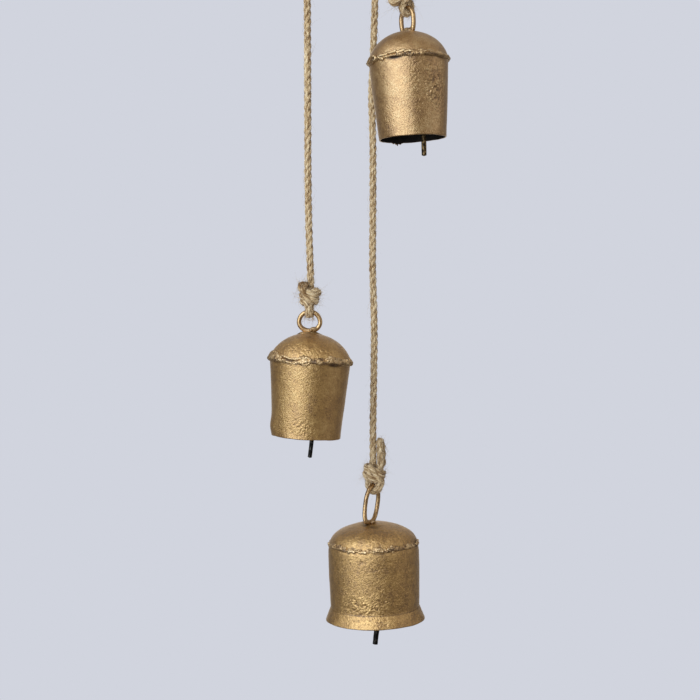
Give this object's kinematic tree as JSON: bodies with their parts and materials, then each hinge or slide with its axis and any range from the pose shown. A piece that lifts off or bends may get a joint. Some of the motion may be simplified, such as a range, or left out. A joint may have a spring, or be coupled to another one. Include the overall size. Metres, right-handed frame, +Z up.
{
  "type": "bunch of small hanging bells",
  "caption": "Hand-made sheet-metal cow bells with brazed seams and iron clappers, hung at different heights on knotted jute cords from hooks in a round wooden ceiling block.",
  "frame": {"origin": "middle of the round ceiling block's top face, which lies against the ceiling", "axes": "+Z up, out of the block's top face; +X to the viewer's right; +Y away from the viewer; the bells hang towards -Z"},
  "size_m": [0.1254, 0.1225, 0.5817],
  "materials": {
    "brazed_sheet": "rough brazed brass skin over sheet iron, mottled and worn",
    "braze": "lumpy braze bead, brighter than the sheet",
    "ring_wire": "brazed iron wire ring, worn",
    "black_iron": "blackened iron rod and wire",
    "hook_brass": "plated steel cup hook, satin",
    "jute_cord": "three-strand natural jute, hairy",
    "oak_block": "oiled oak, fine grain"
  },
  "bodies": {
    "block": {"ceiling_block": "oak_block", "upper_hook": "hook_brass", "middle_hook": "hook_brass", "lower_hook": "hook_brass"},
    "upper_cord": {"upper_cord_eye": "jute_cord", "upper_cord": "jute_cord", "upper_cord_knot": "jute_cord"},
    "upper_bell": {"upper_bell_ring": "ring_wire", "upper_ring_braze": "braze", "upper_bell_dome": "brazed_sheet", "upper_seam_bead": "braze", "upper_bell_skirt": "brazed_sheet", "upper_clapper_staple": "black_iron"},
    "upper_clapper": {"upper_clapper": "black_iron"},
    "middle_cord": {"middle_cord_eye": "jute_cord", "middle_cord": "jute_cord", "middle_cord_knot": "jute_cord"},
    "middle_bell": {"middle_bell_ring": "ring_wire", "middle_ring_braze": "braze", "middle_bell_dome": "brazed_sheet", "middle_seam_bead": "braze", "middle_bell_skirt": "brazed_sheet", "middle_clapper_staple": "black_iron"},
    "middle_clapper": {"middle_clapper": "black_iron"},
    "lower_cord": {"lower_cord_eye": "jute_cord", "lower_cord": "jute_cord", "lower_cord_knot": "jute_cord"},
    "lower_bell": {"lower_bell_ring": "ring_wire", "lower_ring_braze": "braze", "lower_bell_dome": "brazed_sheet", "lower_seam_bead": "braze", "lower_bell_skirt": "brazed_sheet", "lower_clapper_staple": "black_iron"},
    "lower_clapper": {"lower_clapper": "black_iron"}
  },
  "joints": [
    {"name": "upper_cord_swing", "type": "hinge", "parent": "block", "child": "upper_cord", "pos_m": [0.0352, -0.026, -0.042], "axis": [1, 0, 0], "range_deg": [-12, 12]},
    {"name": "upper_bell_swing", "type": "hinge", "parent": "upper_cord", "child": "upper_bell", "pos_m": [0.0382, -0.026, -0.1332], "axis": [0.5, -0.866, 0], "range_deg": [-20, 20]},
    {"name": "upper_clapper_swing", "type": "hinge", "parent": "upper_bell", "child": "upper_clapper", "pos_m": [0.04551, -0.026, -0.15922], "axis": [0, 1, 0], "range_deg": [-11.5, 23.5]},
    {"name": "middle_cord_swing", "type": "hinge", "parent": "block", "child": "middle_cord", "pos_m": [-0.0296, 0, -0.042], "axis": [1, 0, 0], "range_deg": [-12, 12]},
    {"name": "middle_bell_swing", "type": "hinge", "parent": "middle_cord", "child": "middle_bell", "pos_m": [-0.0283, 0, -0.34555], "axis": [0, 1, 0], "range_deg": [-20, 20]},
    {"name": "middle_clapper_swing", "type": "hinge", "parent": "middle_bell", "child": "middle_clapper", "pos_m": [-0.02592, 0, -0.36381], "axis": [0, 1, 0], "range_deg": [-15.5, 22]},
    {"name": "lower_cord_swing", "type": "hinge", "parent": "block", "child": "lower_cord", "pos_m": [0.0186, 0.03, -0.042], "axis": [1, 0, 0], "range_deg": [-12, 12]},
    {"name": "lower_bell_swing", "type": "hinge", "parent": "lower_cord", "child": "lower_bell", "pos_m": [0.0174, 0.03, -0.4637], "axis": [0.5, 0.866, 0], "range_deg": [-20, 20]},
    {"name": "lower_clapper_swing", "type": "hinge", "parent": "lower_bell", "child": "lower_clapper", "pos_m": [0.01953, 0.0315, -0.50167], "axis": [0, 1, 0], "range_deg": [-28, 28.5]}
  ]
}
